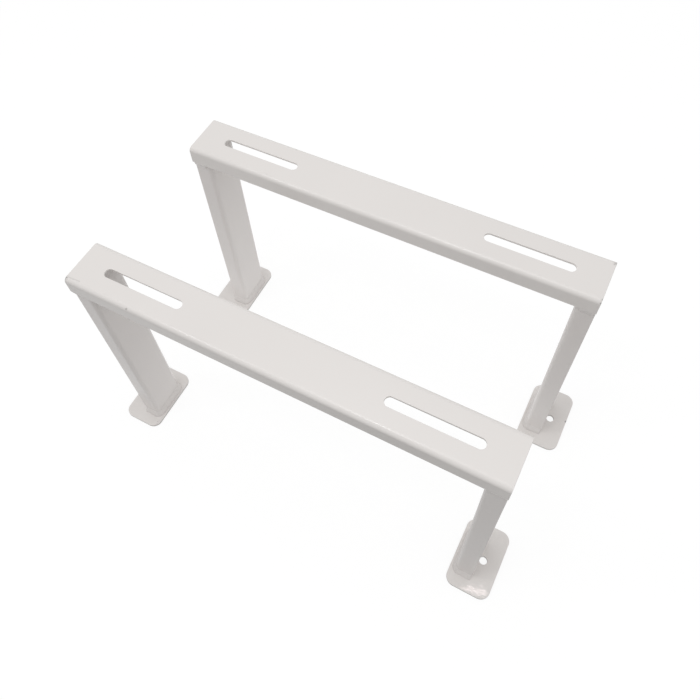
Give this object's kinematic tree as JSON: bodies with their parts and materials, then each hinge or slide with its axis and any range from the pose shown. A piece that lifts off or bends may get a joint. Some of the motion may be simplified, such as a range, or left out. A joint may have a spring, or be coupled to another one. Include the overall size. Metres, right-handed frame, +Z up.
{
  "type": "air conditioner floor stand",
  "caption": "Floor stand for an outdoor air conditioner: a pair of white steel brackets, each a slotted channel rail on channel legs with drilled foot plates.",
  "frame": {"origin": "on the floor, midway between the two brackets", "axes": "+X along the rails, left to right; +Y from the front bracket to the rear one; +Z up"},
  "size_m": [0.506, 0.278, 0.3],
  "materials": {
    "powder_coat": "gloss warm white powder coat on folded sheet steel"
  },
  "bodies": {
    "root": {"front_left_foot": "powder_coat", "front_left_foot_weld_aft": "powder_coat", "front_left_foot_weld_fore": "powder_coat", "front_left_foot_weld_web": "powder_coat", "front_left_lap_weld_aft": "powder_coat", "front_left_lap_weld_fore": "powder_coat", "front_left_leg": "powder_coat", "front_rail": "powder_coat", "front_right_foot": "powder_coat", "front_right_foot_weld_aft": "powder_coat", "front_right_foot_weld_fore": "powder_coat", "front_right_foot_weld_web": "powder_coat", "front_right_lap_weld_aft": "powder_coat", "front_right_lap_weld_fore": "powder_coat", "front_right_leg": "powder_coat", "rear_left_foot": "powder_coat", "rear_left_foot_weld_aft": "powder_coat", "rear_left_foot_weld_fore": "powder_coat", "rear_left_foot_weld_web": "powder_coat", "rear_left_lap_weld_aft": "powder_coat", "rear_left_lap_weld_fore": "powder_coat", "rear_left_leg": "powder_coat", "rear_rail": "powder_coat", "rear_right_foot": "powder_coat", "rear_right_foot_weld_aft": "powder_coat", "rear_right_foot_weld_fore": "powder_coat", "rear_right_foot_weld_web": "powder_coat", "rear_right_lap_weld_aft": "powder_coat", "rear_right_lap_weld_fore": "powder_coat", "rear_right_leg": "powder_coat"}
  },
  "joints": []
}
